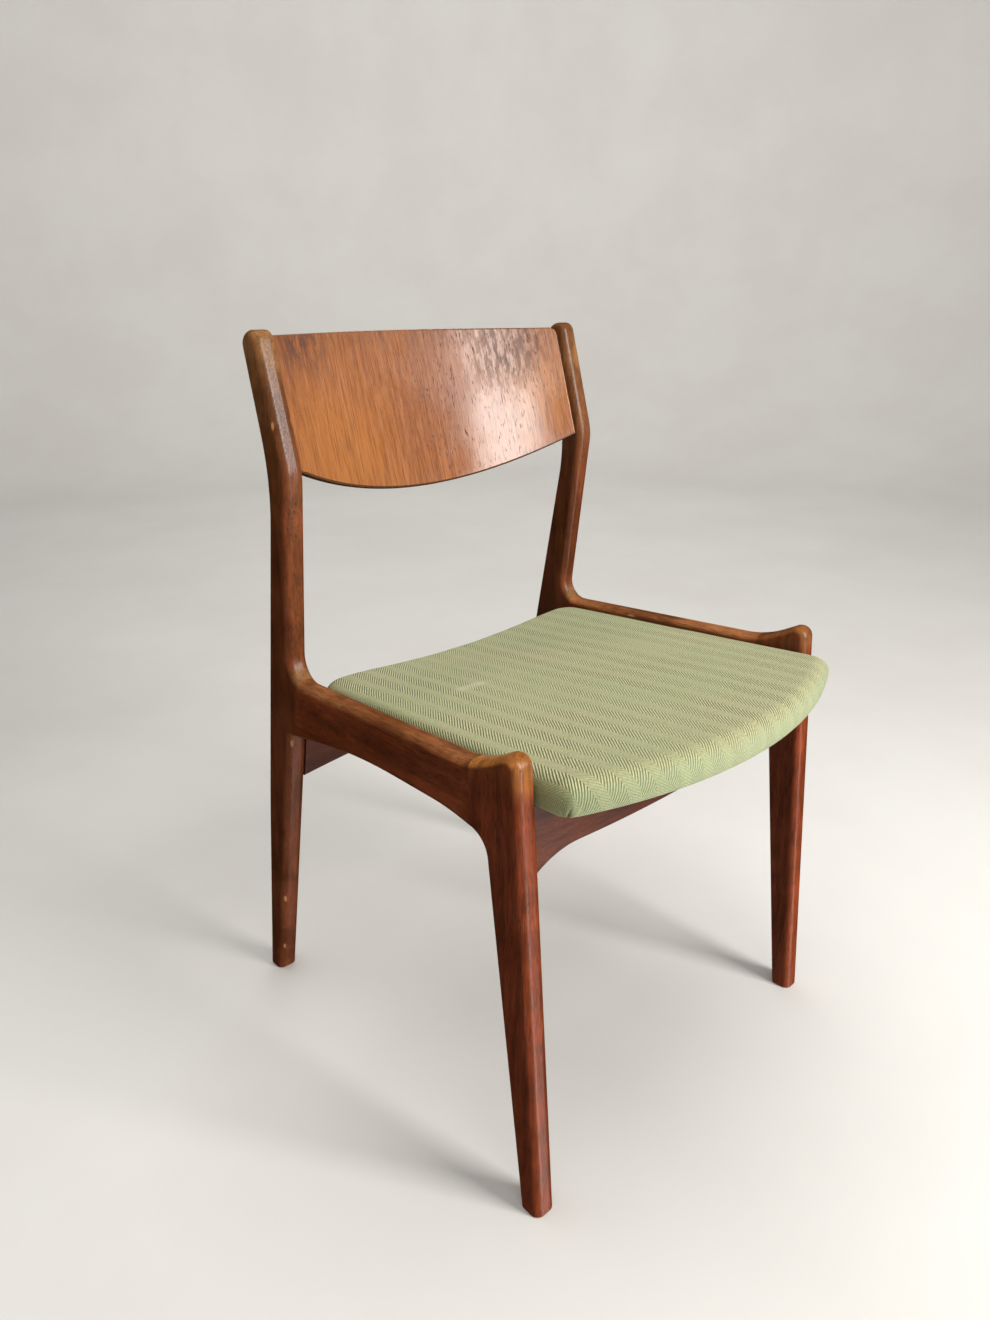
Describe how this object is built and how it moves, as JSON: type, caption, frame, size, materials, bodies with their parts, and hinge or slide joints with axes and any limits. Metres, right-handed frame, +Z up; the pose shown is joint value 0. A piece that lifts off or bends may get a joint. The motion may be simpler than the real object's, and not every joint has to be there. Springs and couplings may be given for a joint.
{
  "type": "dining chair",
  "caption": "Armless dining chair with bent backrest panel, raised rounded front leg tops, curved side rails and an upholstered seat that projects past the front legs.",
  "frame": {"origin": "on the floor, under the middle of the chair's overall width and depth", "axes": "+Z up; the chair faces -Y, so +Y runs from its front to its back; +X is to the right as seen from in front, and the chair is the same on both sides of X = 0. Nodes named left are on the -X side."},
  "size_m": [0.4768, 0.5401, 0.7801],
  "materials": {
    "teak_frame": "dark red-brown stained teak, semi-gloss lacquer",
    "stained_rail": "dark purple-brown stained wood, satin",
    "teak_veneer": "orange-brown teak veneer, glossy lacquer",
    "beech": "plain beech dowel",
    "block_wood": "unfinished sawn wood",
    "plywood": "unfinished plywood",
    "foam": "aged foam",
    "wool_herringbone": "sage green wool in a herringbone weave",
    "dust_cloth": "thin black lining cloth",
    "staple_wire": "bright wire",
    "screw_steel": "plain steel"
  },
  "bodies": {
    "root": {"rear_leg_left": "teak_frame", "rear_leg_right": "teak_frame", "front_leg_left": "teak_frame", "front_leg_right": "teak_frame", "side_rail_left": "teak_frame", "side_rail_right": "teak_frame", "side_rail_dowels_left": "beech", "side_rail_dowels_right": "beech", "front_rail": "stained_rail", "front_rail_dowels": "beech", "rear_rail": "stained_rail", "rear_rail_dowels": "beech", "corner_block_front_left": "block_wood", "corner_block_front_right": "block_wood", "corner_block_rear_left": "block_wood", "corner_block_rear_right": "block_wood", "corner_block_screws": "screw_steel", "seat_screws": "screw_steel", "back_panel": "teak_veneer", "back_panel_dowels": "beech", "seat_board": "plywood", "seat_foam": "foam", "seat_cover": "wool_herringbone", "seat_dust_cover": "dust_cloth", "seat_staples": "staple_wire"}
  },
  "joints": []
}
